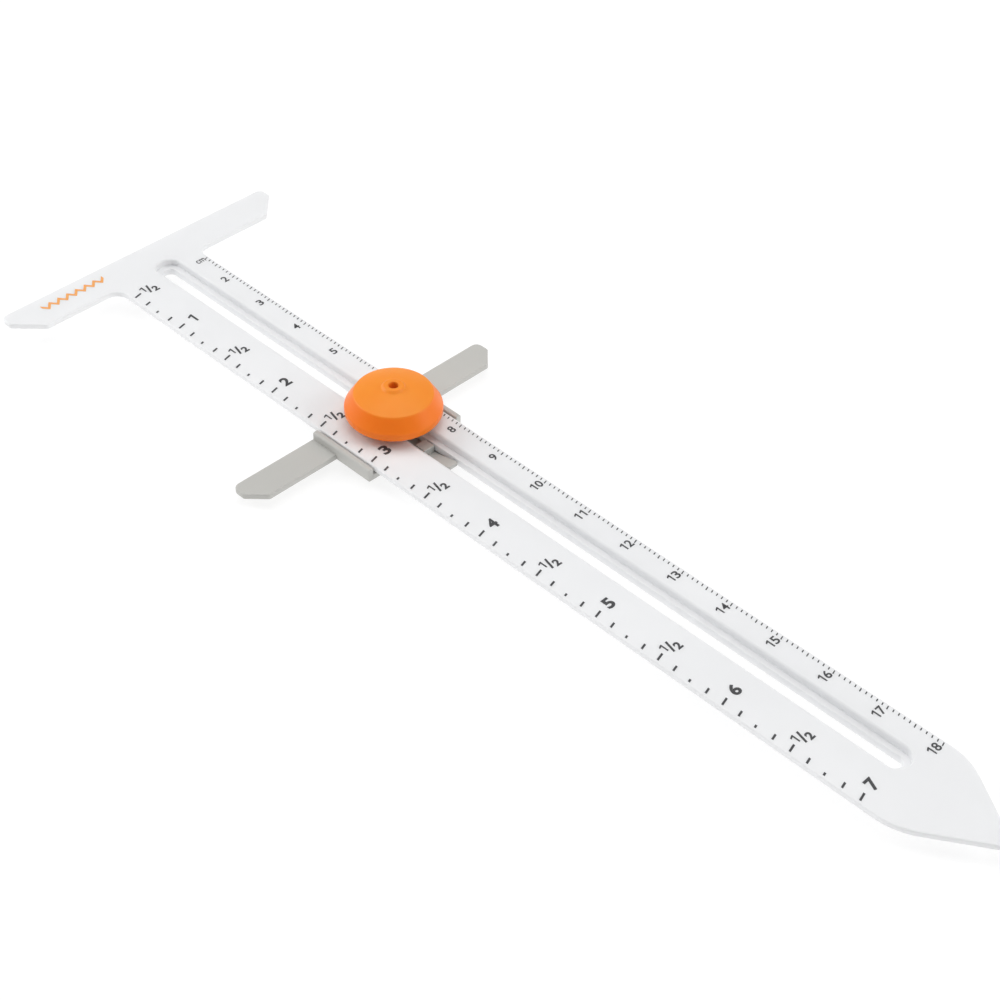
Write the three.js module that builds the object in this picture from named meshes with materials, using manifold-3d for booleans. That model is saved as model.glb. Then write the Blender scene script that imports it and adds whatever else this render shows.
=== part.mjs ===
// Sliding sewing gauge: a T-headed ruler with a long slot, a cross slide that runs along it,
// and a knob on a hollow screw that clamps the slide. Millimetres, +Z up.
//
// Design axes: x runs along the ruler from the zero of its printed scale to its point, y runs
// across it from the middle of the blade to the centimetre edge, and z = 0 is the top face.
// The exported group is moved so that its origin is the middle of the base of the whole gauge.
import * as THREE from "three";
import { mergeVertices } from "three/addons/utils/BufferGeometryUtils.js";
import Module from "manifold-3d";

const wasm = await Module();
wasm.setup();

// ---- driving dimensions ------------------------------------------------------------------
const INCH = 25.4;

const CLEAR = 0.25; // running clearance between pieces
const EDGE = 0.2; // softened edge of a moulded piece

const HEAD_OUTER_X = 1.0; // outer straight edge of the T-head
const HEAD_INNER_X = 8.6;
const HEAD_INCH_END_Y = -29.85;
const HEAD_CM_END_Y = 31.05;
const HEAD_CHAMFER = 4.8;
const HEAD_CORNER_R = 1.4;
const HEAD_FILLET_R = 2.4; // where the head meets the blade

const BLADE_W = 18.5;
const BLADE_T = 1.1; // flange thickness, the same in the head
const POINT_START_X = 180.8; // where the parallel edges end
const POINT_BEND_R = 12;
const POINT_HALF_ANGLE = THREE.MathUtils.degToRad(33.4);
const POINT_NOSE_R = 1.6;

const SLOT_Y = 1.83; // the slot is nearer the centimetre edge
const SLOT_W = 2.65;
const SLOT_T_X = 8.2; // slot end at the head
const SLOT_POINT_X = 7 * INCH - 0.1;
const LEDGE_W = 1.15; // ledge on each side of the slot, at the bottom of the channel
const LEDGE_Z = -1.35;
const TROUGH_WALL = 1.2;
const TROUGH_BOTTOM_Z = -2.7;

const SLIDE_X = 63.9; // measuring edge of the cross slide, set near 2 1/2 inches
const SLIDE_L = 14.0; // length of its body along the ruler
const ARM_W = 5.95;
const ARM_END_Y = 28.4; // both arms end this far from the middle of the blade
const ARM_CHAMFER = 3.1;
const ARM_CORNER_R = 1.3;
const ARM_TOP_Z = -1.4;
const ARM_BOTTOM_Z = -2.5;
const LIP_GAP = 0.35; // between the blade's edge and the lip beside it
const LIP_W = 1.1;
const PLATE_T = 1.2;
const PLATE_WALL = 1.6; // plate material beside the trough
const GUIDE_CLEAR = 0.2; // each side of the ribs that run in the slot
const RIB_T = 1.2;
const RIB_SPAN = 5.2; // over the pair of ribs on the head side of the screw
const END_RIB_L = 2.3;
const END_RIB_REACH = 1.5; // how far the end rib stands out past the lips
const PAD_L = 4.4; // pad of the plate under the root of the tongue
const PAD_HALF_W = 3.1;
const TONGUE_L = 7.3; // leaf that reaches along the slot towards the point
const TONGUE_ROOT_Z = -3.2; // its upper face where it leaves the plate
const TONGUE_TIP_Z = -1.45;
const TONGUE_T = 0.8;

const KNOB_X = 70.6;
const SCREW_R = 1.05;
const PIN_HOLE_R = 0.5;
const SCREW_HEAD_W = 5.0;
const SCREW_HEAD_T = 0.5;

const SHOE_L = 9.6;
const SHOE_T = 0.9;
const SHOE_CORNER_R = 1.0;

const KNOB_BOTTOM_Z = 1.5; // underside of the knob's rim
const KNOB_RIM_R = 8.45;
const KNOB_RIM_ROUND = 1.0;
const KNOB_TOP_R = 6.8;
const KNOB_TOP_Z = 5.6; // where the flank meets the crowned top
const KNOB_CROWN_RISE = 1.25;
const KNOB_WALL = 1.5;
const KNOB_HUB_R = 2.3;
const BOSS_R = 2.1; // small raised ring round the pin hole
const BOSS_RISE = 0.48;
const KNOB_HOLE_R = 0.85;
const INSERT_R = 1.65;
const INSERT_L = 4.2;
const INSERT_CLEAR = 0.1;

// ---- derived places ----------------------------------------------------------------------
const HALF_BLADE = BLADE_W / 2;
const CHANNEL_HALF_W = SLOT_W / 2 + LEDGE_W;
const CHANNEL_T_X = SLOT_T_X - LEDGE_W;
const CHANNEL_POINT_X = SLOT_POINT_X + LEDGE_W;
const POINT_BEND_X = POINT_START_X + POINT_BEND_R * Math.sin(POINT_HALF_ANGLE);
const POINT_BEND_Y = HALF_BLADE - POINT_BEND_R * (1 - Math.cos(POINT_HALF_ANGLE));
const POINT_APEX_X = POINT_BEND_X + POINT_BEND_Y / Math.tan(POINT_HALF_ANGLE);
const POINT_NOSE_X = POINT_APEX_X - POINT_NOSE_R / Math.sin(POINT_HALF_ANGLE);
const POINT_END_X = POINT_NOSE_X + POINT_NOSE_R;

const LIP_INNER_Y = HALF_BLADE + LIP_GAP;
const LIP_OUTER_Y = LIP_INNER_Y + LIP_W;
const PLATE_TOP_Z = TROUGH_BOTTOM_Z - CLEAR;
const PLATE_BOTTOM_Z = PLATE_TOP_Z - PLATE_T;
const TROUGH_HALF_W = CHANNEL_HALF_W + TROUGH_WALL;
const SLIDE_END_X = SLIDE_X + SLIDE_L;
const RIB_TOP_Z = LEDGE_Z - 0.05;

const SHOE_BOTTOM_Z = LEDGE_Z + 0.2;
const SHOE_TOP_Z = SHOE_BOTTOM_Z + SHOE_T;
const HUB_BOTTOM_Z = SHOE_TOP_Z + 0.2;
const INSERT_BOTTOM_Z = HUB_BOTTOM_Z + 0.3;
const INSERT_POCKET_TOP_Z = INSERT_BOTTOM_Z + INSERT_L + CLEAR;
const SCREW_BOTTOM_Z = PLATE_BOTTOM_Z + 0.1;
const SCREW_TOP_Z = INSERT_POCKET_TOP_Z - CLEAR;

// ---- helpers -----------------------------------------------------------------------------

/** A closed three.js geometry as a solid. */
function solid(geometry) {
  const bare = geometry.index ? geometry.toNonIndexed() : geometry.clone();
  bare.deleteAttribute("normal");
  bare.deleteAttribute("uv");
  const merged = mergeVertices(bare, 1e-4);
  const mesh = new wasm.Mesh({
    numProp: 3,
    vertProperties: new Float32Array(merged.attributes.position.array),
    triVerts: new Uint32Array(merged.index.array),
  });
  return new wasm.Manifold(mesh);
}

/** A solid back as a three.js geometry. */
function geometryOf(body) {
  const mesh = body.getMesh();
  const geometry = new THREE.BufferGeometry();
  geometry.setAttribute("position", new THREE.BufferAttribute(mesh.vertProperties, 3));
  geometry.setIndex(new THREE.BufferAttribute(mesh.triVerts, 1));
  geometry.computeVertexNormals();
  return geometry;
}

/** A flat outline raised from z = bottom to z = top, with its edges softened by `edge`. */
function raised(shape, bottom, top, edge = 0, curveSegments = 10) {
  const geometry = new THREE.ExtrudeGeometry(shape, {
    depth: top - bottom - 2 * edge,
    bevelEnabled: edge > 0,
    bevelSize: edge,
    bevelThickness: edge,
    bevelOffset: -edge,
    bevelSegments: 2,
    curveSegments,
  });
  geometry.translate(0, 0, bottom + edge);
  return solid(geometry);
}

/** A box between two opposite corners. */
function block(x0, x1, y0, y1, z0, z1) {
  const geometry = new THREE.BoxGeometry(x1 - x0, y1 - y0, z1 - z0);
  geometry.translate((x0 + x1) / 2, (y0 + y1) / 2, (z0 + z1) / 2);
  return solid(geometry);
}

/** An upright cylinder. */
function post(x, y, radius, z0, z1, sides = 32) {
  const geometry = new THREE.CylinderGeometry(radius, radius, z1 - z0, sides);
  geometry.rotateX(Math.PI / 2);
  geometry.translate(x, y, (z0 + z1) / 2);
  return solid(geometry);
}

/** A body turned from a profile of (radius, height) points about an upright axis. */
function turned(profile, x, y, sides = 48) {
  const points = profile.map(([radius, height]) => new THREE.Vector2(radius, height));
  const geometry = new THREE.LatheGeometry(points, sides);
  geometry.rotateX(Math.PI / 2);
  geometry.translate(x, y, 0);
  return solid(geometry);
}

/** A slot outline with round ends, between x0 and x1 about y. */
function slotShape(x0, x1, y, halfWidth) {
  const shape = new THREE.Shape();
  shape.moveTo(x0 + halfWidth, y - halfWidth);
  shape.lineTo(x1 - halfWidth, y - halfWidth);
  shape.absarc(x1 - halfWidth, y, halfWidth, -Math.PI / 2, Math.PI / 2, false);
  shape.lineTo(x0 + halfWidth, y + halfWidth);
  shape.absarc(x0 + halfWidth, y, halfWidth, Math.PI / 2, (3 * Math.PI) / 2, false);
  return shape;
}

/** A rectangle outline with round corners. */
function roundedRectangle(x0, x1, y0, y1, radius) {
  const shape = new THREE.Shape();
  shape.moveTo(x0 + radius, y0);
  shape.lineTo(x1 - radius, y0);
  shape.absarc(x1 - radius, y0 + radius, radius, -Math.PI / 2, 0, false);
  shape.lineTo(x1, y1 - radius);
  shape.absarc(x1 - radius, y1 - radius, radius, 0, Math.PI / 2, false);
  shape.lineTo(x0 + radius, y1);
  shape.absarc(x0 + radius, y1 - radius, radius, Math.PI / 2, Math.PI, false);
  shape.lineTo(x0, y0 + radius);
  shape.absarc(x0 + radius, y0 + radius, radius, Math.PI, (3 * Math.PI) / 2, false);
  return shape;
}

// ---- ruler body --------------------------------------------------------------------------

/** The whole outline seen from above: T-head, parallel blade and rounded point. */
function rulerOutline() {
  const quarter = Math.PI / 2;
  const fillet = HEAD_FILLET_R;
  const noseTurn = quarter - POINT_HALF_ANGLE;
  const shape = new THREE.Shape();
  shape.moveTo(HEAD_OUTER_X, HEAD_CM_END_Y - HEAD_CORNER_R);
  shape.lineTo(HEAD_OUTER_X, HEAD_INCH_END_Y + HEAD_CORNER_R);
  shape.absarc(
    HEAD_OUTER_X + HEAD_CORNER_R, HEAD_INCH_END_Y + HEAD_CORNER_R, HEAD_CORNER_R,
    Math.PI, 3 * quarter, false,
  );
  shape.lineTo(HEAD_INNER_X - HEAD_CHAMFER, HEAD_INCH_END_Y);
  shape.lineTo(HEAD_INNER_X, HEAD_INCH_END_Y + HEAD_CHAMFER);
  shape.lineTo(HEAD_INNER_X, -HALF_BLADE - fillet);
  shape.absarc(HEAD_INNER_X + fillet, -HALF_BLADE - fillet, fillet, Math.PI, quarter, true);
  shape.lineTo(POINT_START_X, -HALF_BLADE);
  shape.absarc(
    POINT_START_X, -HALF_BLADE + POINT_BEND_R, POINT_BEND_R,
    -quarter, -quarter + POINT_HALF_ANGLE, false,
  );
  shape.absarc(POINT_NOSE_X, 0, POINT_NOSE_R, -noseTurn, noseTurn, false);
  shape.absarc(
    POINT_START_X, HALF_BLADE - POINT_BEND_R, POINT_BEND_R,
    quarter - POINT_HALF_ANGLE, quarter, false,
  );
  shape.lineTo(HEAD_INNER_X + fillet, HALF_BLADE);
  shape.absarc(HEAD_INNER_X + fillet, HALF_BLADE + fillet, fillet, -quarter, Math.PI, true);
  shape.lineTo(HEAD_INNER_X, HEAD_CM_END_Y - HEAD_CHAMFER);
  shape.lineTo(HEAD_INNER_X - HEAD_CHAMFER, HEAD_CM_END_Y);
  shape.lineTo(HEAD_OUTER_X + HEAD_CORNER_R, HEAD_CM_END_Y);
  shape.absarc(
    HEAD_OUTER_X + HEAD_CORNER_R, HEAD_CM_END_Y - HEAD_CORNER_R, HEAD_CORNER_R,
    quarter, Math.PI, false,
  );
  return shape;
}

function makeRulerBody() {
  const flange = raised(rulerOutline(), -BLADE_T, 0, EDGE);
  const troughShape = slotShape(
    CHANNEL_T_X - TROUGH_WALL, CHANNEL_POINT_X + TROUGH_WALL, SLOT_Y, TROUGH_HALF_W,
  );
  const trough = raised(troughShape, TROUGH_BOTTOM_Z, -BLADE_T / 2, 0);
  const channelShape = slotShape(CHANNEL_T_X, CHANNEL_POINT_X, SLOT_Y, CHANNEL_HALF_W);
  const channel = raised(channelShape, LEDGE_Z, 1, 0);
  const slotCut = raised(slotShape(SLOT_T_X, SLOT_POINT_X, SLOT_Y, SLOT_W / 2), -4, 1, 0);
  return flange.add(trough).subtract(channel).subtract(slotCut);
}

// ---- cross slide -------------------------------------------------------------------------

/** The bar of the cross slide seen from above: an arm on each side of the ruler. */
function armOutline() {
  const x0 = SLIDE_X;
  const x1 = SLIDE_X + ARM_W;
  const quarter = Math.PI / 2;
  const shape = new THREE.Shape();
  shape.moveTo(x0, ARM_END_Y - ARM_CORNER_R);
  shape.lineTo(x0, -ARM_END_Y + ARM_CORNER_R);
  shape.absarc(
    x0 + ARM_CORNER_R, -ARM_END_Y + ARM_CORNER_R, ARM_CORNER_R,
    Math.PI, 3 * quarter, false,
  );
  shape.lineTo(x1 - ARM_CHAMFER, -ARM_END_Y);
  shape.lineTo(x1, -ARM_END_Y + ARM_CHAMFER);
  shape.lineTo(x1, ARM_END_Y - ARM_CHAMFER);
  shape.lineTo(x1 - ARM_CHAMFER, ARM_END_Y);
  shape.lineTo(x0 + ARM_CORNER_R, ARM_END_Y);
  shape.absarc(
    x0 + ARM_CORNER_R, ARM_END_Y - ARM_CORNER_R, ARM_CORNER_R,
    quarter, Math.PI, false,
  );
  return shape;
}

/** Section of the slide's body across the ruler: lips, wings and the plate under the trough. */
function slideSection() {
  const troughLow = SLOT_Y - TROUGH_HALF_W - CLEAR;
  const troughHigh = SLOT_Y + TROUGH_HALF_W + CLEAR;
  const wingTop = -BLADE_T - CLEAR;
  const soft = 0.3;
  const shape = new THREE.Shape();
  shape.moveTo(-LIP_OUTER_Y, ARM_BOTTOM_Z);
  shape.lineTo(troughLow - PLATE_WALL, ARM_BOTTOM_Z);
  shape.lineTo(troughLow - PLATE_WALL + 1, PLATE_BOTTOM_Z);
  shape.lineTo(troughHigh + PLATE_WALL - 1, PLATE_BOTTOM_Z);
  shape.lineTo(troughHigh + PLATE_WALL, ARM_BOTTOM_Z);
  shape.lineTo(LIP_OUTER_Y, ARM_BOTTOM_Z);
  shape.lineTo(LIP_OUTER_Y, -soft);
  shape.absarc(LIP_OUTER_Y - soft, -soft, soft, 0, Math.PI / 2, false);
  shape.lineTo(LIP_INNER_Y, 0);
  shape.lineTo(LIP_INNER_Y, wingTop);
  shape.lineTo(troughHigh, wingTop);
  shape.lineTo(troughHigh, PLATE_TOP_Z);
  shape.lineTo(troughLow, PLATE_TOP_Z);
  shape.lineTo(troughLow, wingTop);
  shape.lineTo(-LIP_INNER_Y, wingTop);
  shape.lineTo(-LIP_INNER_Y, 0);
  shape.lineTo(-LIP_OUTER_Y + soft, 0);
  shape.absarc(-LIP_OUTER_Y + soft, -soft, soft, Math.PI / 2, Math.PI, false);
  return shape;
}

function makeSlideBody() {
  const section = new THREE.ExtrudeGeometry(slideSection(), {
    depth: SLIDE_L,
    bevelEnabled: false,
    curveSegments: 4,
  });
  // the section's own x and y become the model's y and z
  section.applyMatrix4(new THREE.Matrix4().makeBasis(
    new THREE.Vector3(0, 1, 0), new THREE.Vector3(0, 0, 1), new THREE.Vector3(1, 0, 0),
  ));
  section.translate(SLIDE_X, 0, 0);

  const arms = raised(armOutline(), ARM_BOTTOM_Z, ARM_TOP_Z, EDGE);
  const underBlade = block(
    SLIDE_X - 1, SLIDE_END_X, -LIP_INNER_Y, LIP_INNER_Y, ARM_BOTTOM_Z - 1, 0,
  );
  const guideHalf = SLOT_W / 2 - GUIDE_CLEAR;
  const guideLow = SLOT_Y - guideHalf;
  const guideHigh = SLOT_Y + guideHalf;
  const slope = (TONGUE_TIP_Z - TONGUE_ROOT_Z) / TONGUE_L;
  const tongue = raised(
    roundedRectangle(SLIDE_END_X - 0.5, SLIDE_END_X + TONGUE_L, guideLow, guideHigh, 0.5),
    TONGUE_ROOT_Z - TONGUE_T, TONGUE_ROOT_Z, 0, 4,
  ).warp((v) => {
    v[2] += slope * (v[0] - SLIDE_END_X);
  });
  const pad = block(
    SLIDE_END_X - 1, SLIDE_END_X + PAD_L, SLOT_Y - PAD_HALF_W, SLOT_Y + PAD_HALF_W,
    PLATE_BOTTOM_Z, PLATE_TOP_Z,
  );
  const pocketHalf = SCREW_HEAD_W / 2 + CLEAR;
  const headPocket = block(
    KNOB_X - pocketHalf, KNOB_X + pocketHalf, SLOT_Y - pocketHalf, SLOT_Y + pocketHalf,
    PLATE_BOTTOM_Z - 1, SCREW_BOTTOM_Z + SCREW_HEAD_T + 0.1,
  );
  const bore = post(KNOB_X, SLOT_Y, SCREW_R + CLEAR, PLATE_BOTTOM_Z - 1, 0);
  const endRibX = SLIDE_END_X + END_RIB_REACH;
  const ribs = [
    [SLIDE_X, SLIDE_X + RIB_T],
    [SLIDE_X + RIB_SPAN - RIB_T, SLIDE_X + RIB_SPAN],
    [SLIDE_END_X - RIB_SPAN, SLIDE_END_X - RIB_SPAN + RIB_T],
    [endRibX - END_RIB_L, endRibX],
  ];
  let body = solid(section).add(arms.subtract(underBlade)).add(tongue).add(pad);
  for (const [x0, x1] of ribs) {
    body = body.add(block(x0, x1, guideLow, guideHigh, PLATE_TOP_Z - 0.3, RIB_TOP_Z));
  }
  return body.subtract(headPocket).subtract(bore);
}

// ---- clamp -------------------------------------------------------------------------------

function makeClampScrew() {
  const half = SCREW_HEAD_W / 2;
  const headShape = roundedRectangle(
    KNOB_X - half, KNOB_X + half, SLOT_Y - half, SLOT_Y + half, 0.5,
  );
  const head = raised(headShape, SCREW_BOTTOM_Z, SCREW_BOTTOM_Z + SCREW_HEAD_T, 0, 4);
  const shank = post(KNOB_X, SLOT_Y, SCREW_R, SCREW_BOTTOM_Z + 0.1, SCREW_TOP_Z);
  const pinHole = post(KNOB_X, SLOT_Y, PIN_HOLE_R, SCREW_BOTTOM_Z - 1, SCREW_TOP_Z + 1, 24);
  return head.add(shank).subtract(pinHole);
}

function makeClampShoe() {
  const halfWidth = CHANNEL_HALF_W - CLEAR;
  const shape = roundedRectangle(
    KNOB_X - SHOE_L / 2, KNOB_X + SHOE_L / 2,
    SLOT_Y - halfWidth, SLOT_Y + halfWidth, SHOE_CORNER_R,
  );
  const plate = raised(shape, SHOE_BOTTOM_Z, SHOE_TOP_Z, 0.15, 6);
  const hole = post(KNOB_X, SLOT_Y, SCREW_R + CLEAR, SHOE_BOTTOM_Z - 1, SHOE_TOP_Z + 1);
  return plate.subtract(hole);
}

/** Points along an arc of a turned profile, angles in degrees from the outward direction. */
function profileArc(radius, height, round, fromDegrees, toDegrees, steps) {
  return Array.from({ length: steps + 1 }, (_, i) => {
    const angle = THREE.MathUtils.degToRad(fromDegrees + ((toDegrees - fromDegrees) * i) / steps);
    return [radius + round * Math.cos(angle), height + round * Math.sin(angle)];
  });
}

/** Height of the knob's crowned top at a distance from its axis. */
function crownHeight(radius) {
  const share = radius / KNOB_TOP_R;
  return KNOB_TOP_Z + KNOB_CROWN_RISE * (1 - share * share);
}

function makeKnob() {
  const rimCentreR = KNOB_RIM_R - KNOB_RIM_ROUND;
  const rimCentreZ = KNOB_BOTTOM_Z + KNOB_RIM_ROUND;
  const crownSteps = 6;
  const crown = Array.from({ length: crownSteps + 1 }, (_, i) => {
    const radius = KNOB_TOP_R - 0.15 - ((KNOB_TOP_R - 0.15 - BOSS_R) * i) / crownSteps;
    return [radius, crownHeight(radius)];
  });
  const bossTop = crownHeight(BOSS_R) + BOSS_RISE;
  const skirtInnerR = rimCentreR - 0.3;
  const roofZ = KNOB_TOP_Z - KNOB_WALL + 0.6;
  const profile = [
    [skirtInnerR, KNOB_BOTTOM_Z],
    ...profileArc(rimCentreR, rimCentreZ, KNOB_RIM_ROUND, -90, 25, 7),
    [KNOB_TOP_R + 0.12, KNOB_TOP_Z - 0.28],
    [KNOB_TOP_R, KNOB_TOP_Z - 0.08],
    ...crown,
    [BOSS_R - 0.35, bossTop],
    [KNOB_HOLE_R + 0.15, bossTop],
    [KNOB_HOLE_R, bossTop - 0.2],
    [KNOB_HOLE_R, INSERT_POCKET_TOP_Z],
    [INSERT_R + INSERT_CLEAR, INSERT_POCKET_TOP_Z],
    [INSERT_R + INSERT_CLEAR, HUB_BOTTOM_Z],
    [KNOB_HUB_R, HUB_BOTTOM_Z],
    [KNOB_HUB_R, roofZ - 0.5],
    [KNOB_HUB_R + 0.5, roofZ],
    [KNOB_TOP_R - KNOB_WALL - 0.4, roofZ - 0.5],
    [skirtInnerR, KNOB_BOTTOM_Z],
  ];
  return turned(profile, KNOB_X, SLOT_Y);
}

function makeKnobInsert() {
  const top = INSERT_BOTTOM_Z + INSERT_L;
  const outer = post(KNOB_X, SLOT_Y, INSERT_R, INSERT_BOTTOM_Z, top, 24);
  const thread = post(KNOB_X, SLOT_Y, SCREW_R + 0.1, INSERT_BOTTOM_Z - 1, top + 1, 24);
  return outer.subtract(thread);
}

// ---- materials and assembly --------------------------------------------------------------

function plastic(color, roughness) {
  return new THREE.MeshStandardMaterial({ color, roughness, metalness: 0 });
}

function metal(color, roughness) {
  return new THREE.MeshStandardMaterial({ color, roughness, metalness: 1 });
}

function piece(name, body, material) {
  const mesh = new THREE.Mesh(geometryOf(body), material);
  mesh.name = name;
  return mesh;
}

const gauge = new THREE.Group();
gauge.name = "sliding_sewing_gauge";
gauge.add(piece("ruler_body", makeRulerBody(), plastic(0xf0f0f1, 0.45)));
gauge.add(piece("slide_body", makeSlideBody(), plastic(0xc5c6c0, 0.5)));
gauge.add(piece("clamp_screw", makeClampScrew(), metal(0xb9bbbd, 0.35)));
gauge.add(piece("clamp_shoe", makeClampShoe(), plastic(0xc0c1bb, 0.5)));
gauge.add(piece("knob", makeKnob(), plastic(0xf6862c, 0.4)));
gauge.add(piece("knob_insert", makeKnobInsert(), metal(0xb08d3f, 0.4)));

gauge.position.set(
  -(HEAD_OUTER_X + POINT_END_X) / 2,
  -(HEAD_INCH_END_Y + HEAD_CM_END_Y) / 2,
  -PLATE_BOTTOM_Z,
);

export default gauge;
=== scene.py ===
"""Looks of the sliding sewing gauge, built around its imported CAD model.

Shapes are drawn in working millimetres: x runs along the ruler from the zero of its scales,
y runs across it from the middle of the blade to the centimetre edge, and z = 0 is the printed
face. to_frame() puts them in the CAD frame, in metres.
"""
import math

import bmesh
import bpy
from mathutils import Matrix, Vector


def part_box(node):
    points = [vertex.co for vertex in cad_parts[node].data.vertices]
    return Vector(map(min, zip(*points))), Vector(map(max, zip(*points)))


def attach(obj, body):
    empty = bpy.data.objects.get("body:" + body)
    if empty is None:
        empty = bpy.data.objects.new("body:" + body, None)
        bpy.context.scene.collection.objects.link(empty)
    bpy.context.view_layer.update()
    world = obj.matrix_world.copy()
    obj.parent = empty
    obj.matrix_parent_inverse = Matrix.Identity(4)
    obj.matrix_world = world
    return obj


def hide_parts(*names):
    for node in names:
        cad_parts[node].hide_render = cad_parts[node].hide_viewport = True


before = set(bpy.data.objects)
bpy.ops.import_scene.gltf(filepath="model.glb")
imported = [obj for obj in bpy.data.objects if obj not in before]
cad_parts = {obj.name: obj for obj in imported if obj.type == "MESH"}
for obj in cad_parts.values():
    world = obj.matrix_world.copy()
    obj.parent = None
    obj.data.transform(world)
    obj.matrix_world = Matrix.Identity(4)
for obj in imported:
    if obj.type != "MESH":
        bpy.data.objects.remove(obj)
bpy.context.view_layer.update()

MM = 0.001
INCH = 25.4

# ---- ruler -------------------------------------------------------------------------------
HEAD_OUTER_X = 1.0
HEAD_INNER_X = 8.6
HEAD_INCH_END_Y = -29.85
HEAD_CM_END_Y = 31.05
HEAD_CHAMFER = 4.8
HEAD_CORNER_R = 1.4
HEAD_FILLET_R = 2.4
BLADE_T = 1.1
HALF_BLADE = 9.25
POINT_START_X = 180.8
POINT_BEND_R = 12.0
POINT_HALF_ANGLE = math.radians(33.4)
POINT_NOSE_R = 1.6
SLOT_HALF_W = 1.325
SLOT_T_X = 8.2
SLOT_POINT_X = 7 * INCH - 0.1
LEDGE_W = 1.15
LEDGE_Z = -1.35
TROUGH_WALL = 1.2
TROUGH_BOTTOM_Z = -2.7
CHANNEL_HALF_W = SLOT_HALF_W + LEDGE_W
TROUGH_HALF_W = CHANNEL_HALF_W + TROUGH_WALL

# ---- cross slide -------------------------------------------------------------------------
SLIDE_L = 14.0
ARM_W = 5.95
ARM_END_Y = 28.4
ARM_CHAMFER = 3.1
ARM_CORNER_R = 1.3
ARM_TOP_Z = -1.4
ARM_BOTTOM_Z = -2.5
LIP_INNER_Y = HALF_BLADE + 0.35
LIP_OUTER_Y = LIP_INNER_Y + 1.1
PLATE_TOP_Z = TROUGH_BOTTOM_Z - 0.25
PLATE_BOTTOM_Z = PLATE_TOP_Z - 1.2
PLATE_WALL = 1.6
GUIDE_HALF_W = SLOT_HALF_W - 0.2
RIB_T = 1.2
RIB_SPAN = 5.2
END_RIB_L = 2.3
END_RIB_REACH = 1.5
PAD_L = 4.4
PAD_HALF_W = 3.1
TONGUE_L = 7.3
TONGUE_ROOT_Z = -3.2
TONGUE_TIP_Z = -1.45
TONGUE_T = 0.8

# ---- clamp and knob ----------------------------------------------------------------------
SCREW_R = 1.05
SCREW_ROOT_R = 0.88
SCREW_PITCH = 0.5
PIN_HOLE_R = 0.5
SCREW_HEAD_W = 5.0
SCREW_HEAD_T = 0.5
SHOE_L = 9.6
SHOE_T = 0.9
KNOB_BOTTOM_Z = 1.5
KNOB_RIM_R = 8.45
KNOB_TOP_R = 6.8
KNOB_TOP_Z = 5.6
KNOB_CROWN_RISE = 1.25
KNOB_HUB_R = 2.3
BOSS_R = 2.1
BOSS_RISE = 0.48
KNOB_HOLE_R = 0.85
INSERT_R = 1.65
INSERT_L = 4.2
KNURLS = 24
KNURL_DEPTH = 0.09
KNURL_SIDES = 144

# ---- places taken from the frame ---------------------------------------------------------
RULER_LOW, RULER_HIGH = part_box("ruler_body")
SLIDE_LOW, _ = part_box("slide_body")
KNOB_LOW, KNOB_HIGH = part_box("knob")
SCREW_LOW, SCREW_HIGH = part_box("clamp_screw")
SHOE_LOW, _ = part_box("clamp_shoe")
INSERT_LOW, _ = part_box("knob_insert")
ORIGIN = Vector((
    RULER_LOW.x - HEAD_OUTER_X * MM, RULER_LOW.y - HEAD_INCH_END_Y * MM, RULER_HIGH.z,
))
AXIS = ((KNOB_LOW + KNOB_HIGH) / 2 - ORIGIN) / MM
SLOT_Y = AXIS.y
SLIDE_X = (SLIDE_LOW.x - ORIGIN.x) / MM
SLIDE_END_X = SLIDE_X + SLIDE_L
SCREW_BOTTOM_Z = (SCREW_LOW.z - ORIGIN.z) / MM
SCREW_TOP_Z = (SCREW_HIGH.z - ORIGIN.z) / MM
SHOE_BOTTOM_Z = (SHOE_LOW.z - ORIGIN.z) / MM
HUB_BOTTOM_Z = (KNOB_LOW.z - ORIGIN.z) / MM
INSERT_BOTTOM_Z = (INSERT_LOW.z - ORIGIN.z) / MM

TURN_SIDES = 96
BAR_SIDES = 48
FLOOR_R = 30
SHARP_ANGLE = math.radians(35)


# ---- outlines ----------------------------------------------------------------------------

def round_corners(corners, step_degrees=9.0):
    """An outline from (x, y, radius) corners, with an arc of that radius at each one."""
    outline = []
    for i, (x, y, radius) in enumerate(corners):
        corner = Vector((x, y))
        if radius == 0:
            outline.append(corner)
            continue
        before = (Vector(corners[i - 1][:2]) - corner).normalized()
        after = (Vector(corners[(i + 1) % len(corners)][:2]) - corner).normalized()
        half = before.angle(after) / 2
        reach = radius / math.tan(half)
        centre = corner + (before + after).normalized() * (radius / math.sin(half))
        start = corner + before * reach - centre
        end = corner + after * reach - centre
        sweep = math.atan2(start.cross(end), start.dot(end))
        steps = max(2, math.ceil(abs(sweep) / math.radians(step_degrees)))
        for k in range(steps + 1):
            angle = sweep * k / steps
            turned_start = Vector((
                start.x * math.cos(angle) - start.y * math.sin(angle),
                start.x * math.sin(angle) + start.y * math.cos(angle),
            ))
            outline.append(centre + turned_start)
    return outline


def inset(outline, distance):
    """The same outline moved inwards; the outline runs counter-clockwise."""
    moved = []
    for i, point in enumerate(outline):
        before = (point - outline[i - 1]).normalized()
        after = (outline[(i + 1) % len(outline)] - point).normalized()
        normal_a = Vector((-before.y, before.x))
        normal_b = Vector((-after.y, after.x))
        moved.append(point + (normal_a + normal_b) * (distance / (1 + normal_a.dot(normal_b))))
    return moved


def rectangle(x0, x1, y0, y1, radius):
    return round_corners([(x0, y0, radius), (x1, y0, radius), (x1, y1, radius), (x0, y1, radius)])


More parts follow.
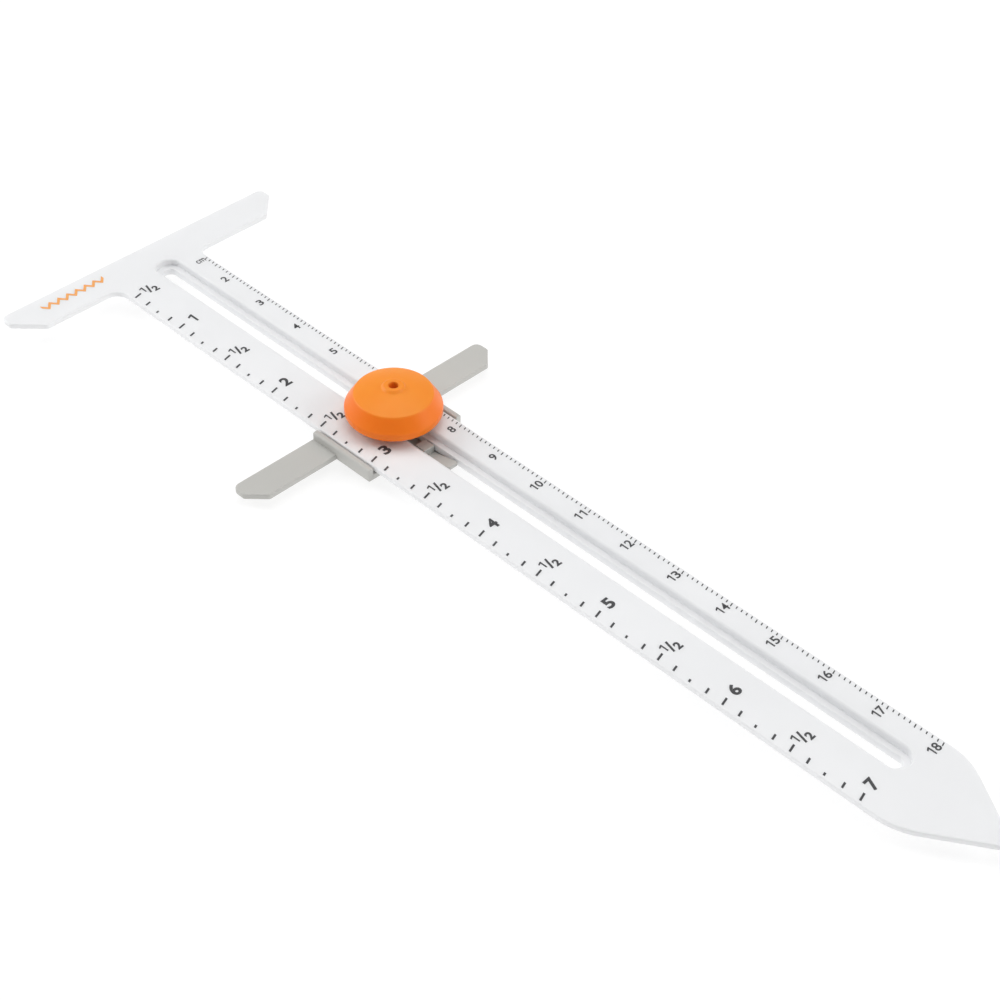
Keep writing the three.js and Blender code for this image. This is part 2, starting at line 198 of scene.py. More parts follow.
def stadium(x0, x1, y, half_width, steps=14):
    """A slot outline with round ends, counter-clockwise, always with the same number of points."""
    points = []
    for centre_x, first in ((x1 - half_width, -math.pi / 2), (x0 + half_width, math.pi / 2)):
        for k in range(steps + 1):
            angle = first + math.pi * k / steps
            points.append(Vector((
                centre_x + half_width * math.cos(angle), y + half_width * math.sin(angle),
            )))
    return points


# ---- solids ------------------------------------------------------------------------------

def rounded_side(bottom, top, edge, steps=4):
    """(inset, z) pairs down the side of a plate, from the rim of its top to that of its base."""
    quarter = [math.pi / 2 * k / steps for k in range(steps + 1)]
    upper = [(edge * (1 - math.sin(a)), top - edge * (1 - math.cos(a))) for a in quarter]
    lower = [(edge * (1 - math.cos(a)), bottom + edge * (1 - math.sin(a))) for a in quarter]
    return upper + lower


def skin(bm, rings, closed=False):
    """Quads between rings of equal length. closed joins the last ring to the first."""
    made = [[bm.verts.new(point) for point in ring] for ring in rings]
    pairs = list(zip(made, made[1:]))
    if closed:
        pairs.append((made[-1], made[0]))
    for a, b in pairs:
        for i in range(len(a)):
            j = (i + 1) % len(a)
            bm.faces.new((a[i], b[i], b[j], a[j]))
    return made


def ring_at(outline, z):
    return [Vector((p.x, p.y, z)) for p in outline]


def edges_of(ring):
    """The edges round a closed ring of vertices."""
    found = []
    for i, vert in enumerate(ring):
        other = ring[(i + 1) % len(ring)]
        found += [edge for edge in vert.link_edges if edge.other_vert(vert) is other]
    return found


def finish_mesh(bm, name):
    bmesh.ops.remove_doubles(bm, verts=bm.verts, dist=1e-5)
    bmesh.ops.recalc_face_normals(bm, faces=bm.faces)
    mesh = bpy.data.meshes.new(name)
    bm.to_mesh(mesh)
    bm.free()
    piece = bpy.data.objects.new(name, mesh)
    bpy.context.scene.collection.objects.link(piece)
    return piece


def plate(name, outline, bottom, top, edge=0.0, steps=4):
    """An outline raised between two heights, with its edges rounded."""
    bm = bmesh.new()
    side = rounded_side(bottom, top, edge, steps) if edge else [(0, top), (0, bottom)]
    rings = skin(bm, [ring_at(inset(outline, step_in), z) for step_in, z in side])
    bm.faces.new(rings[0])
    bm.faces.new(rings[-1])
    return finish_mesh(bm, name)


def block(name, x0, x1, y0, y1, z0, z1, edge=0.0, corner=0.0):
    return plate(name, rectangle(x0, x1, y0, y1, corner), z0, z1, edge, 3)


def turned(name, profile, sides=TURN_SIDES, radius_at=None):
    """A ring-shaped body turned from a closed profile of (radius, height) on the knob's axis."""
    rings = []
    for k in range(sides):
        angle = math.tau * k / sides
        ring = []
        for point in profile:
            radius = radius_at(point.x, point.y, angle) if radius_at else point.x
            ring.append(Vector((
                AXIS.x + radius * math.cos(angle), SLOT_Y + radius * math.sin(angle), point.y,
            )))
        rings.append(ring)
    bm = bmesh.new()
    skin(bm, rings, closed=True)
    return finish_mesh(bm, name)


def combine(target, others, operation):
    """Joins the other solids to the target, or cuts them from it."""
    for other in others:
        modifier = target.modifiers.new("combine", "BOOLEAN")
        modifier.operation = operation
        modifier.solver = "EXACT"
        modifier.object = other
        graph = bpy.context.evaluated_depsgraph_get()
        result = bpy.data.meshes.new_from_object(target.evaluated_get(graph))
        target.modifiers.clear()
        target.data = result
        bpy.data.objects.remove(other)
    return target


def to_frame(piece, name, body, material, replaces=()):
    """Puts a finished piece in the CAD frame, shades it, and makes it ride on its body."""
    piece.name = name
    piece.data.name = name
    piece.data.transform(Matrix.Translation(ORIGIN) @ Matrix.Scale(MM, 4))
    piece.data.shade_smooth()
    piece.data.set_sharp_from_angle(angle=SHARP_ANGLE)
    weighted = piece.modifiers.new("even shading", "WEIGHTED_NORMAL")
    weighted.keep_sharp = True
    piece.data.materials.clear()
    piece.data.materials.append(material)
    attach(piece, body)
    if replaces:
        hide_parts(*replaces)
    return piece


# ---- materials ---------------------------------------------------------------------------

class Nodes:
    """A material's node tree, with short calls to add and link its nodes."""

    def __init__(self, name):
        self.material = bpy.data.materials.new(name)
        self.material.use_nodes = True
        self.tree = self.material.node_tree
        self.shader = next(n for n in self.tree.nodes if n.type == "BSDF_PRINCIPLED")
        self.place = self.add("ShaderNodeTexCoord").outputs["Object"]

    def add(self, kind, inputs=None, **settings):
        node = self.tree.nodes.new(kind)
        for key, value in settings.items():
            setattr(node, key, value)
        for key, value in (inputs or {}).items():
            if isinstance(value, bpy.types.NodeSocket):
                self.tree.links.new(value, node.inputs[key])
            else:
                node.inputs[key].default_value = value
        return node

    def noise(self, scale, detail=2.0, stretch=(1, 1, 1)):
        """Noise from 0 to 1, with `scale` features to the metre."""
        mapped = self.add("ShaderNodeMapping", {"Vector": self.place, "Scale": stretch})
        node = self.add("ShaderNodeTexNoise", {
            "Vector": mapped.outputs["Vector"], "Scale": scale, "Detail": detail,
        })
        return node.outputs["Fac"]

    def blend(self, factor, low, high, sharpen=0.0):
        """A colour between low and high as the factor goes from 0 to 1."""
        ramp = self.add("ShaderNodeValToRGB", {"Fac": factor})
        ends = ramp.color_ramp.elements
        ends[0].position, ends[1].position = sharpen, 1 - sharpen
        ends[0].color, ends[1].color = (*low, 1), (*high, 1)
        return ramp.outputs["Color"]

    def spread(self, factor, low, high):
        """A value between low and high as the factor goes from 0.3 to 0.7."""
        node = self.add("ShaderNodeMapRange", {
            "Value": factor, "From Min": 0.3, "From Max": 0.7, "To Min": low, "To Max": high,
        })
        return node.outputs["Result"]

    def bump(self, height, distance, strength=1.0, under=None):
        inputs = {"Height": height, "Distance": distance, "Strength": strength}
        if under is not None:
            inputs["Normal"] = under
        return self.add("ShaderNodeBump", inputs).outputs["Normal"]

    def set(self, **sockets):
        names = {"base": "Base Color", "roughness": "Roughness", "normal": "Normal",
                 "metallic": "Metallic", "ior": "IOR", "scatter": "Subsurface Weight",
                 "specular": "Specular IOR Level"}
        for key, value in sockets.items():
            socket = self.shader.inputs[names[key]]
            if isinstance(value, bpy.types.NodeSocket):
                self.tree.links.new(value, socket)
            else:
                socket.default_value = value
        return self.material


def moulded_plastic(name, low, high, roughness, grain, scatter):
    """Moulded plastic: faint uneven colour, spark-eroded grain and slow mould ripples."""
    nodes = Nodes(name)
    base = nodes.blend(nodes.noise(45, 3), low, high, 0.3)
    uneven = nodes.spread(nodes.noise(160, 4), roughness - 0.05, roughness + 0.06)
    ripple = nodes.bump(nodes.noise(60, 1), 0.00006, 0.35)
    fine = nodes.bump(nodes.noise(5200, 2), grain, 0.5, ripple)
    nodes.shader.inputs["Subsurface Radius"].default_value = (1, 1, 1)
    nodes.shader.inputs["Subsurface Scale"].default_value = 0.0012
    return nodes.set(base=base, roughness=uneven, normal=fine, scatter=scatter, ior=1.49)


def knob_plastic(name):
    """Orange plastic: a satin crown painted a paler orange as painted top light, and a glossier flank
    painted a deeper orange as painted shade.
    """
    nodes = Nodes(name)
    centre = ORIGIN + AXIS * MM
    offset = nodes.add("ShaderNodeVectorMath", {0: nodes.place, 1: centre}, operation="SUBTRACT")
    flat = nodes.add("ShaderNodeVectorMath", {0: offset.outputs[0], 1: (1, 1, 0)}, operation="MULTIPLY")
    radius = nodes.add("ShaderNodeVectorMath", {0: flat.outputs[0]}, operation="LENGTH")
    flank = nodes.add("ShaderNodeMapRange", {
        "Value": radius.outputs["Value"],
        "From Min": (KNOB_TOP_R - 0.15) * MM, "From Max": (KNOB_TOP_R + 0.25) * MM,
    })
    # painted light: one orange plastic split in two shades, the crown painted paler as if lit from
    # above and the flank painted deeper as painted shade
    crown_painted_light = nodes.blend(nodes.noise(140, 3), (0.95, 0.28, 0.020), (0.98, 0.31, 0.028), 0.3)
    flank_painted_shade = nodes.blend(nodes.noise(140, 3), (0.96, 0.19, 0.005), (0.99, 0.215, 0.008), 0.3)
    base = nodes.add("ShaderNodeMix", {0: flank.outputs["Result"], 6: crown_painted_light, 7: flank_painted_shade}, data_type="RGBA")
    gloss = nodes.add("ShaderNodeMapRange", {
        "Value": flank.outputs["Result"], "To Min": 0.44, "To Max": 0.34,
    })
    uneven = nodes.add("ShaderNodeMath", {
        0: gloss.outputs["Result"], 1: nodes.spread(nodes.noise(260, 3), -0.04, 0.05),
    }, operation="ADD")
    ripple = nodes.bump(nodes.noise(80, 1), 0.00004, 0.35)
    fine = nodes.bump(nodes.noise(5200, 2), 0.000005, 0.5, ripple)
    nodes.shader.inputs["Subsurface Radius"].default_value = (1.0, 0.35, 0.05)
    nodes.shader.inputs["Subsurface Scale"].default_value = 0.0008
    return nodes.set(
        base=base.outputs[2], roughness=uneven.outputs[0], normal=fine, scatter=0.15,
        specular=0.3,
    )


def turned_metal(name, low, high, roughness):
    """Metal with fine turning lines round its axis and a few duller patches."""
    nodes = Nodes(name)
    lines = nodes.noise(900, 2, (1, 1, 9))
    base = nodes.blend(lines, low, high, 0.25)
    uneven = nodes.spread(nodes.noise(400, 3), roughness - 0.08, roughness + 0.1)
    normal = nodes.bump(lines, 0.00002, 0.4)
    return nodes.set(base=base, roughness=uneven, normal=normal, metallic=1.0)


def printed_ink(name, low, high):
    """Screen-printed ink: slightly thin and mottled in places."""
    nodes = Nodes(name)
    base = nodes.blend(nodes.noise(2600, 3), low, high, 0.2)
    uneven = nodes.spread(nodes.noise(1500, 2), 0.45, 0.6)
    return nodes.set(base=base, roughness=uneven, normal=nodes.bump(nodes.noise(6000), 0.000004))


def floor_material():
    """A white table lit from within, so that the shadows on it stay faint."""
    nodes = Nodes("pale_floor")
    base = nodes.blend(nodes.noise(6, 3), (0.30, 0.30, 0.30), (0.34, 0.34, 0.34))
    nodes.shader.inputs["Emission Color"].default_value = (1, 1, 1, 1)
    nodes.shader.inputs["Emission Strength"].default_value = 0.74
    return nodes.set(base=base, roughness=0.9, specular=0.1)


# ---- ruler -------------------------------------------------------------------------------

def ruler_outline():
    """T-head, parallel blade and rounded point, counter-clockwise from the head's inch end."""
    outer, inner = HEAD_OUTER_X, HEAD_INNER_X
    bend_x = POINT_START_X + POINT_BEND_R * math.tan(POINT_HALF_ANGLE / 2)
    apex_x = bend_x + HALF_BLADE / math.tan(POINT_HALF_ANGLE)
    chamfer_r = 0.7
    return round_corners([
        (outer, HEAD_INCH_END_Y, HEAD_CORNER_R),
        (inner - HEAD_CHAMFER, HEAD_INCH_END_Y, chamfer_r),
        (inner, HEAD_INCH_END_Y + HEAD_CHAMFER, chamfer_r),
        (inner, -HALF_BLADE, HEAD_FILLET_R),
        (bend_x, -HALF_BLADE, POINT_BEND_R),
        (apex_x, 0, POINT_NOSE_R),
        (bend_x, HALF_BLADE, POINT_BEND_R),
        (inner, HALF_BLADE, HEAD_FILLET_R),
        (inner, HEAD_CM_END_Y - HEAD_CHAMFER, chamfer_r),
        (inner - HEAD_CHAMFER, HEAD_CM_END_Y, chamfer_r),
        (outer, HEAD_CM_END_Y, HEAD_CORNER_R),
    ], 6)


def channel_section():
    """(half width, z) round one side of the channel: top rim, ledge, slot, trough and base."""
    soft, small, rim = 0.16, 0.08, 0.4
    corners = [
        (CHANNEL_HALF_W + rim, 0, 0),
        (CHANNEL_HALF_W, 0, rim),
        (CHANNEL_HALF_W, LEDGE_Z, small),
        (SLOT_HALF_W, LEDGE_Z, soft),
        (SLOT_HALF_W, TROUGH_BOTTOM_Z, small),
        (TROUGH_HALF_W, TROUGH_BOTTOM_Z, soft),
        (TROUGH_HALF_W, -BLADE_T, small),
        (TROUGH_HALF_W + small, -BLADE_T, 0),
    ]
    # the closing side from the last corner to the first is never part of the section
    return round_corners(corners, 22)


def make_ruler():
    """One skin: round the outer edge, through the channel and slot, and two flat faces."""
    bm = bmesh.new()
    outline = ruler_outline()
    side = rounded_side(-BLADE_T, 0, 0.26)
    outer = skin(bm, [ring_at(inset(outline, step_in), z) for step_in, z in side])
    offset_rings = []
    for half_width, z in channel_section():
        reach = half_width - SLOT_HALF_W
        path = stadium(SLOT_T_X - reach, SLOT_POINT_X + reach, SLOT_Y, half_width)
        offset_rings.append(ring_at(path, z))
    inner = skin(bm, offset_rings)
    for rim, hole in ((outer[0], inner[0]), (outer[-1], inner[-1])):
        bmesh.ops.triangle_fill(bm, use_beauty=True, edges=edges_of(rim) + edges_of(hole))
    return finish_mesh(bm, "ruler")


# ---- cross slide -------------------------------------------------------------------------

def slide_section():
    """The slide across the ruler, as (y, z, radius) corners: lips, wings and the low plate."""
    low = SLOT_Y - TROUGH_HALF_W - 0.25
    high = SLOT_Y + TROUGH_HALF_W + 0.25
    wing_top = -BLADE_T - 0.25
    base = ARM_BOTTOM_Z + 0.02
    return [
        (-LIP_OUTER_Y, base, 0.3),
        (low - PLATE_WALL, base, 0),
        (low - PLATE_WALL + 1, PLATE_BOTTOM_Z, 0.25),
        (high + PLATE_WALL - 1, PLATE_BOTTOM_Z, 0.25),
        (high + PLATE_WALL, base, 0),
        (LIP_OUTER_Y, base, 0.3),
        (LIP_OUTER_Y, 0, 0.38),
        (LIP_INNER_Y, 0, 0.22),
        (LIP_INNER_Y, wing_top, 0),
        (high, wing_top, 0.2),
        (high, PLATE_TOP_Z, 0),
        (low, PLATE_TOP_Z, 0),
        (low, wing_top, 0.2),
        (-LIP_INNER_Y, wing_top, 0),
        (-LIP_INNER_Y, 0, 0.22),
        (-LIP_OUTER_Y, 0, 0.38),
    ]


def arm_outline(side):
    """One arm from inside its lip to its far end; side is 1 or -1 across the ruler."""
    x0, x1 = SLIDE_X, SLIDE_X + ARM_W
    root = LIP_INNER_Y + 0.5
    corners = [
        (x0, root, 0),
        (x1, root, 0),
        (x1, ARM_END_Y - ARM_CHAMFER, 0.5),
        (x1 - ARM_CHAMFER, ARM_END_Y, 0.5),
        (x0, ARM_END_Y, ARM_CORNER_R),
    ]
    if side < 0:
        corners = [(x, -y, radius) for x, y, radius in reversed(corners)]
    return round_corners(corners)


def make_slide():
    bm = bmesh.new()
    section = round_corners(slide_section(), 15)
    ends = rounded_side(SLIDE_X + 0.02, SLIDE_END_X, 0.14, 3)
    rings = skin(bm, [
        [Vector((x, p.x, p.y)) for p in inset(section, step_in)] for step_in, x in ends
    ])
    bm.faces.new(rings[0])
    bm.faces.new(rings[-1])
    slide = finish_mesh(bm, "slide")

    low, high = SLOT_Y - GUIDE_HALF_W, SLOT_Y + GUIDE_HALF_W
    added = [plate("arm", arm_outline(side), ARM_BOTTOM_Z, ARM_TOP_Z, 0.26) for side in (-1, 1)]
    tongue = block(
        "tongue", SLIDE_END_X - 0.5, SLIDE_END_X + TONGUE_L, low + 0.01, high - 0.01,
        TONGUE_ROOT_Z - TONGUE_T, TONGUE_ROOT_Z, 0.1, 0.45,
    )
    slope = (TONGUE_TIP_Z - TONGUE_ROOT_Z) / TONGUE_L
    for vert in tongue.data.vertices:
        vert.co.z += slope * (vert.co.x - SLIDE_END_X)
    added.append(tongue)
    added.append(block(
        "pad", SLIDE_END_X - 1, SLIDE_END_X + PAD_L, SLOT_Y - PAD_HALF_W, SLOT_Y + PAD_HALF_W,
        PLATE_BOTTOM_Z + 0.01, PLATE_TOP_Z - 0.01, 0.15, 0.4,
    ))
    for x in (SLIDE_X + 0.05, SLIDE_X + RIB_SPAN - RIB_T, SLIDE_END_X - RIB_SPAN):
        added.append(block(
            "rib", x, x + RIB_T, low, high, PLATE_TOP_Z - 0.3, LEDGE_Z - 0.05, 0.1, 0.12,
        ))
    end_x = SLIDE_END_X + END_RIB_REACH
    added.append(block(
        "end_rib", end_x - END_RIB_L, end_x, low, high, PLATE_TOP_Z - 0.3, LEDGE_Z - 0.05,
        0.1, 0.12,
    ))
    combine(slide, added, "UNION")

    pocket_half = SCREW_HEAD_W / 2 + 0.25
    pocket = block(
        "pocket", AXIS.x - pocket_half, AXIS.x + pocket_half,
        SLOT_Y - pocket_half, SLOT_Y + pocket_half,
        PLATE_BOTTOM_Z - 1, SCREW_BOTTOM_Z + SCREW_HEAD_T + 0.1, 0, 0.4,
    )
    return combine(slide, [pocket, round_bar(SCREW_R + 0.25, PLATE_BOTTOM_Z - 2, -0.5)], "DIFFERENCE")


def round_bar(radius, bottom, top):
    """An upright bar on the knob's axis."""
    outline = [
        Vector((AXIS.x + radius * math.cos(math.tau * k / BAR_SIDES),
                SLOT_Y + radius * math.sin(math.tau * k / BAR_SIDES)))
        for k in range(BAR_SIDES)
    ]
    return plate("bar", outline, bottom, top)


# ---- clamp and knob ----------------------------------------------------------------------

def make_screw():
    """Square head, hollow threaded shank and the pin hole through both."""
    half = SCREW_HEAD_W / 2
    head = block(
        "screw", AXIS.x - half, AXIS.x + half, SLOT_Y - half, SLOT_Y + half,
        SCREW_BOTTOM_Z, SCREW_BOTTOM_Z + SCREW_HEAD_T, 0.08, 0.5,
    )
    combine(head, [round_bar(PIN_HOLE_R + 0.05, SCREW_BOTTOM_Z - 1, SCREW_TOP_Z)], "DIFFERENCE")

    thread_start = SCREW_BOTTOM_Z + SCREW_HEAD_T + 0.6
    rows = round((SCREW_TOP_Z - thread_start) / SCREW_PITCH * 8)
    step = (SCREW_TOP_Z - thread_start) / rows
    outer = [Vector((SCREW_R, thread_start + step * k)) for k in range(rows + 1)]
    foot_z = SCREW_BOTTOM_Z + 0.05
    profile = [Vector((PIN_HOLE_R, foot_z)), Vector((SCREW_R, foot_z)), *outer,
               Vector((PIN_HOLE_R, SCREW_TOP_Z))]

    def threaded(radius, z, angle):
        if radius < SCREW_R or z < thread_start:
            return radius
        wave = abs(((z / SCREW_PITCH - angle / math.tau) % 1.0) * 2 - 1)
        fade = min(1, (z - thread_start) / SCREW_PITCH, (SCREW_TOP_Z - z) / SCREW_PITCH + 0.5)
        return SCREW_R - (SCREW_R - SCREW_ROOT_R) * wave * fade

    shank = turned("shank", profile, BAR_SIDES, threaded)
    return combine(head, [shank], "UNION")


def make_shoe():
    half = CHANNEL_HALF_W - 0.25
    shoe = plate("shoe", rectangle(
        AXIS.x - SHOE_L / 2, AXIS.x + SHOE_L / 2, SLOT_Y - half, SLOT_Y + half, 1.0,
    ), SHOE_BOTTOM_Z, SHOE_BOTTOM_Z + SHOE_T, 0.15)
    return combine(shoe, [round_bar(SCREW_R + 0.25, SHOE_BOTTOM_Z - 1, 1)], "DIFFERENCE")


def crown_height(radius):
    return KNOB_TOP_Z + KNOB_CROWN_RISE * (1 - (radius / KNOB_TOP_R) ** 2)


def make_knob():
    """Crowned top with a small raised ring round the pin hole, flared flank, hollow skirt."""
    boss_top = crown_height(BOSS_R) + BOSS_RISE
    pocket_top = INSERT_BOTTOM_Z + INSERT_L + 0.25
    pocket_r = INSERT_R + 0.1
    skirt_r = KNOB_RIM_R - 1.3
    roof_z = KNOB_TOP_Z - 0.95
    crown_radii = [6.0, 5.1, 4.2, 3.3, BOSS_R + 0.45]
    corners = [
        (skirt_r, KNOB_BOTTOM_Z, 0.2),
        (KNOB_RIM_R - 0.02, KNOB_BOTTOM_Z, 0.62),
        (KNOB_RIM_R, KNOB_BOTTOM_Z + 1.5, 0.8),
        (KNOB_TOP_R + 0.02, KNOB_TOP_Z, 0.4),
        *[(radius, crown_height(radius), 0) for radius in crown_radii],
        (BOSS_R, crown_height(BOSS_R), 0.4),
        (BOSS_R - 0.45, boss_top, 0.25),
        (KNOB_HOLE_R, boss_top, 0.2),
        (KNOB_HOLE_R, pocket_top, 0),
        (pocket_r, pocket_top, 0),
        (pocket_r, HUB_BOTTOM_Z, 0.08),
        (KNOB_HUB_R, HUB_BOTTOM_Z, 0.12),
        (KNOB_HUB_R, roof_z - 0.3, 0.5),
        (KNOB_TOP_R - 1.6, roof_z - 0.5, 0.5),
    ]
    return turned("knob", round_corners(corners, 10))


def make_insert():
    """A bush with straight knurling outside and a plain bore."""
    top = INSERT_BOTTOM_Z + INSERT_L
    bore = SCREW_R + 0.1
    middle = [(INSERT_R, INSERT_BOTTOM_Z + 0.3 + 0.6 * k, 0) for k in range(7)]
    corners = [
        (bore, INSERT_BOTTOM_Z, 0.06), (INSERT_R - 0.12, INSERT_BOTTOM_Z, 0), *middle,
        (INSERT_R - 0.12, top, 0), (bore, top, 0.06),
    ]

    def knurled(radius, z, angle):
        if radius < INSERT_R - 0.01:
            return radius
        return radius - KNURL_DEPTH * abs(math.sin(angle * KNURLS / 2))

    return turned("insert", round_corners(corners), KNURL_SIDES, knurled)


# ---- printed scales ----------------------------------------------------------------------
INK_BOTTOM = -0.01
INK_TOP = 0.012
TICK_W = 0.38
TICK_LEAN = math.tan(math.radians(14))
INCH_TICKS = {"whole": (-8.685, -7.135), "eighth": (-8.675, -7.525), "quarter": (-8.72, -8.12)}
CM_TICK_Y = (8.32, 8.86)
CM_LONG_TICK_Y = (8.12, 8.86)
CM_TICK_W = 0.2
# height, width and added stroke weight of each kind of numeral
INCH_FIGURE = (2.3, 1.65, 0.036)
HALF_ONE = (1.6, 1.2, 0.05)
HALF_BAR = (2.3, 0.95, 0.04)
HALF_TWO = (1.55, 1.15, 0.04)
# a heavier stroke makes the outlines of the 3 and the 8 cross themselves
CM_FIGURE = (1.65, 1.1, 0.018)
CM_UNIT = (1.1, 1.9, 0.01)


def add_prism(bm, points):
    """A flat printed mark with the given outline in plan."""
    base = [bm.verts.new((x, y, INK_BOTTOM)) for x, y in points]
    top = [bm.verts.new((x, y, INK_TOP)) for x, y in points]
    bm.faces.new(list(reversed(base)))
    bm.faces.new(top)
    for i in range(len(points)):
        j = (i + 1) % len(points)
        bm.faces.new((base[i], base[j], top[j], top[i]))


def add_tick(bm, x, y0, y1, width):
    """A printed line across the ruler, centred on x halfway along, leaning to the T-head."""
    shift = TICK_LEAN * (y1 - y0) / 2
    add_prism(bm, [
        (x + shift - width / 2, y0), (x + shift + width / 2, y0),
        (x - shift + width / 2, y1), (x - shift - width / 2, y1),
    ])


def inch_marks():
    bm = bmesh.new()
    for eighths in range(4, 57):
        kind = "whole" if eighths % 4 == 0 else "quarter" if eighths % 2 == 0 else "eighth"
        y0, y1 = INCH_TICKS[kind]
        add_tick(bm, eighths * INCH / 8, y0, y1, TICK_W)
    return finish_mesh(bm, "inch_marks")


def centimetre_marks():
    bm = bmesh.new()
    for millimetre in range(12, 181):
        y0, y1 = CM_LONG_TICK_Y if millimetre % 5 == 0 else CM_TICK_Y
        add_tick(bm, millimetre, y0, y1, CM_TICK_W)
    return finish_mesh(bm, "centimetre_marks")


def lettering(text, height, width, weight):
    """A mesh of generic characters of one size, drawn upright about its middle."""
    curve = bpy.data.curves.new("numeral", "FONT")
    curve.body = text
    curve.offset = weight
    curve.extrude = 0.5
    curve.resolution_u = 6
    letters = bpy.data.objects.new("numeral", curve)
    bpy.context.scene.collection.objects.link(letters)
    bpy.context.view_layer.update()
    graph = bpy.context.evaluated_depsgraph_get()
    mesh = bpy.data.meshes.new_from_object(letters.evaluated_get(graph))
    bpy.data.objects.remove(letters)
    xs = [v.co.x for v in mesh.vertices]
    ys = [v.co.y for v in mesh.vertices]
    middle = Vector(((min(xs) + max(xs)) / 2, (min(ys) + max(ys)) / 2, 0))
    scale = Vector((
        width / (max(xs) - min(xs)), height / (max(ys) - min(ys)), INK_TOP - INK_BOTTOM,
    ))
    for vert in mesh.vertices:
        local = vert.co - middle
        vert.co = Vector((local.x * scale.x, local.y * scale.y, local.z * scale.z))
    return mesh


def place_letters(bm, mesh, x, y):
    """Turns a mesh drawn upright so that its top points to the T-head, centred on (x, y)."""
    mesh.transform(Matrix((
        (0, -1, 0, x), (1, 0, 0, y), (0, 0, 1, (INK_TOP + INK_BOTTOM) / 2), (0, 0, 0, 1),
    )))
    bm.from_mesh(mesh)
    bpy.data.meshes.remove(mesh)


def add_one(bm, x, y, height, width):
    """The figure one, with a flag to its left."""
    stem = 0.17 * height
    right = width / 2 - 0.05 * height
    outline = [
        (right - stem, -0.5), (right, -0.5), (right, 0.5), (right - stem * 0.75, 0.5),
        (-width / 2, 0.32), (-width / 2, 0.16), (right - stem, 0.27),
    ]
    add_prism(bm, [(x - v * height, y + u) for u, v in outline])


def add_letters(bm, text, x, y, height, width, weight):
    """Characters of one width, read from the inch edge to the centimetre edge."""
    pitch = width * 1.12
    for i, character in enumerate(text):
        centre_y = y + (i - (len(text) - 1) / 2) * pitch
        if character == "1":
            add_one(bm, x, centre_y, height, width * 0.72)
        else:
            place_letters(bm, lettering(character, height, width, weight), x, centre_y)


def inch_numerals():
    bm = bmesh.new()
    for inches in range(1, 8):
        add_letters(bm, str(inches), inches * INCH - 0.5, -5.0, *INCH_FIGURE)
    for half_inches in range(1, 15, 2):
        x = half_inches * INCH / 2
        add_letters(bm, "1", x - 0.8, -6.25, *HALF_ONE)
        add_letters(bm, "/", x - 0.35, -5.2, *HALF_BAR)
        add_letters(bm, "2", x + 0.3, -4.15, *HALF_TWO)
    return finish_mesh(bm, "inch_numerals")


def centimetre_numerals():
    bm = bmesh.new()
    for centimetres in range(2, 19):
        add_letters(bm, str(centimetres), centimetres * 10 - 0.42, 6.8, *CM_FIGURE)
    place_letters(bm, lettering("cm", *CM_UNIT), 12.0, 7.3)
    return finish_mesh(bm, "centimetre_numerals")


def stitch_mark():
    """A generic printed zigzag stitch on the T-head, in place of lettering."""
    bm = bmesh.new()
    legs = 14
    first, last = -9.1, -22.85
    x_low, x_high = 3.55, 4.75
    half = 0.4
    step = (last - first) / legs
    line = [(x_high if k % 2 else x_low, first + step * k) for k in range(legs + 1)]
    near = [(x + half, y) for x, y in line]
    far = [(x - half, y) for x, y in reversed(line)]
    add_prism(bm, near + far)
    return finish_mesh(bm, "stitch_mark")


# ---- the object --------------------------------------------------------------------------

def build_object():
    white = moulded_plastic(
        "white_plastic", (0.83, 0.835, 0.845), (0.86, 0.865, 0.875), 0.42, 0.000006, 0.5,
    )
    grey = moulded_plastic(
        "grey_plastic", (0.52, 0.515, 0.49), (0.57, 0.565, 0.535), 0.46, 0.000008, 0.05,
    )
    orange = knob_plastic("orange_plastic")
    steel = turned_metal("screw_steel", (0.50, 0.51, 0.52), (0.68, 0.69, 0.70), 0.32)
    brass = turned_metal("insert_brass", (0.58, 0.40, 0.14), (0.78, 0.58, 0.24), 0.34)
    ink = printed_ink("scale_ink", (0.038, 0.038, 0.041), (0.075, 0.075, 0.08))
    orange_ink = printed_ink("mark_ink", (0.90, 0.36, 0.09), (0.95, 0.45, 0.14))

    to_frame(make_ruler(), "ruler", "ruler", white, ["ruler_body"])
    to_frame(make_slide(), "cross_slide", "slide", grey, ["slide_body"])
    to_frame(make_screw(), "hollow_screw", "slide", steel, ["clamp_screw"])
    to_frame(make_shoe(), "pressure_shoe", "clamp", grey, ["clamp_shoe"])
    to_frame(make_knob(), "clamp_knob", "knob", orange, ["knob"])
    to_frame(make_insert(), "threaded_insert", "knob", brass, ["knob_insert"])
    to_frame(inch_marks(), "inch_scale_marks", "ruler", ink)
    to_frame(inch_numerals(), "inch_scale_numerals", "ruler", ink)
    to_frame(centimetre_marks(), "cm_scale_marks", "ruler", ink)
    to_frame(centimetre_numerals(), "cm_scale_numerals", "ruler", ink)
    to_frame(stitch_mark(), "stitch_mark", "ruler", orange_ink)


# ---- stage -------------------------------------------------------------------------------

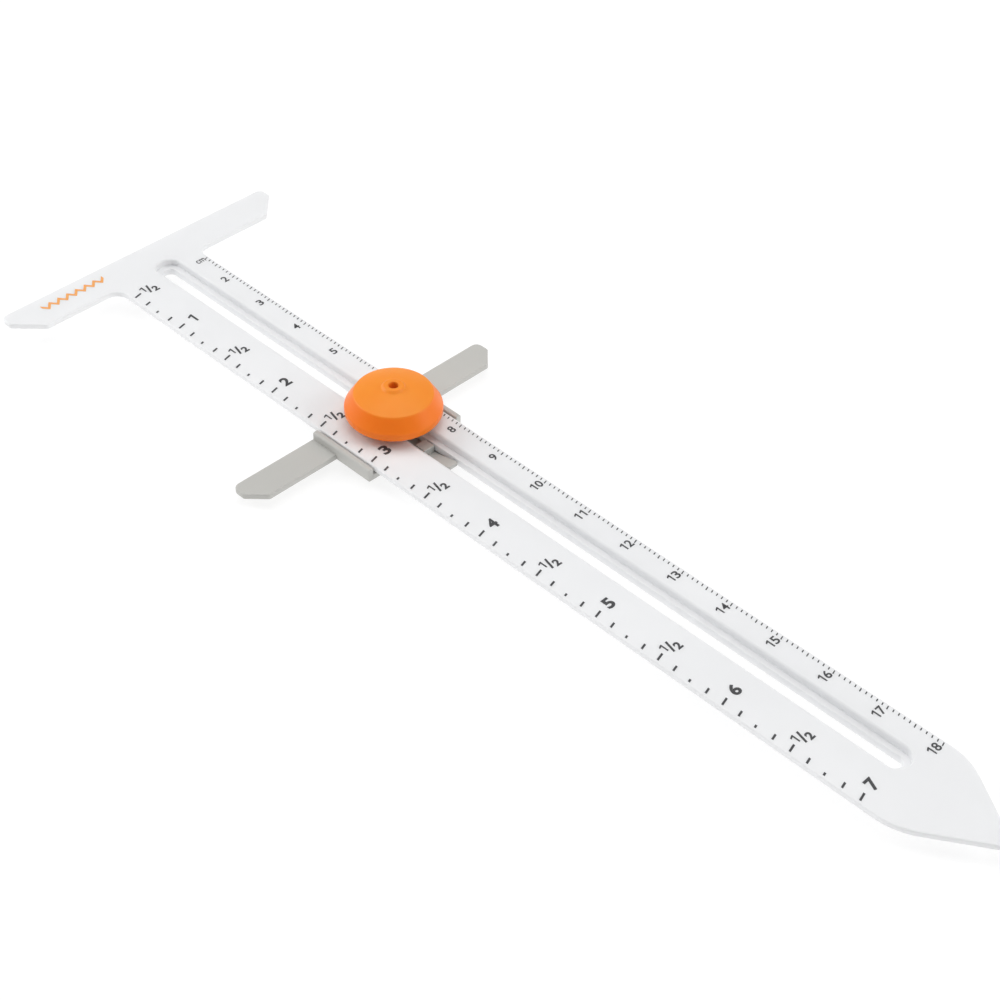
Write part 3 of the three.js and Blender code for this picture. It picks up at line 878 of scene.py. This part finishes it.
def area_light(name, place, size, watts):
    """A round white lamp that points at the middle of the gauge."""
    data = bpy.data.lights.new(name, "AREA")
    data.shape = "DISK"
    data.size = size
    data.energy = watts
    light = bpy.data.objects.new(name, data)
    light.location = place
    light.rotation_euler = (-Vector(place)).to_track_quat("-Z", "Y").to_euler()
    bpy.context.scene.collection.objects.link(light)


def build_stage():
    """A white table, a sky that is darker overhead, and three lamps."""
    bm = bmesh.new()
    bmesh.ops.create_circle(bm, cap_ends=True, segments=96, radius=FLOOR_R)
    mesh = bpy.data.meshes.new("floor")
    bm.to_mesh(mesh)
    bm.free()
    floor = bpy.data.objects.new("floor", mesh)
    floor.data.materials.append(floor_material())
    bpy.context.scene.collection.objects.link(floor)

    world = bpy.data.worlds.new("studio")
    world.use_nodes = True
    tree = world.node_tree
    background = tree.nodes["Background"]
    background.inputs["Color"].default_value = (1, 1, 1, 1)
    direction = tree.nodes.new("ShaderNodeTexCoord").outputs["Generated"]
    height = tree.nodes.new("ShaderNodeSeparateXYZ")
    tree.links.new(direction, height.inputs[0])
    fade = tree.nodes.new("ShaderNodeMapRange")
    tree.links.new(height.outputs["Z"], fade.inputs["Value"])
    for name, value in (("From Min", 0.12), ("From Max", 0.30), ("To Min", 0.90), ("To Max", 0.32)):
        fade.inputs[name].default_value = value
    tree.links.new(fade.outputs["Result"], background.inputs["Strength"])
    bpy.context.scene.world = world
    area_light("overhead", (-0.10, 0.15, 0.85), 0.9, 3.3)
    area_light("left", (-0.75, -0.38, 0.50), 0.5, 3.5)
    area_light("right", (0.66, 0.55, 0.50), 0.5, 2.6)


def build_camera():
    """The photograph's view: from the inch side near the point, 42 degrees down."""
    data = bpy.data.cameras.new("camera")
    data.sensor_width = 36
    data.lens = 74.04
    data.clip_start = 0.01
    camera = bpy.data.objects.new("camera", data)
    right = Vector((0.710, 0.704, 0.022))
    forward = Vector((-0.515, 0.541, -0.665)).normalized()
    up = right.cross(forward).normalized()
    right = forward.cross(up).normalized()
    turn = Matrix((right, up, -forward)).transposed().to_4x4()
    camera.matrix_world = Matrix.Translation((0.17188, -0.18237, 0.22750)) @ turn
    bpy.context.scene.collection.objects.link(camera)
    bpy.context.scene.camera = camera


build_camera()
build_object()
build_stage()
bpy.context.scene.view_settings.view_transform = "Standard"
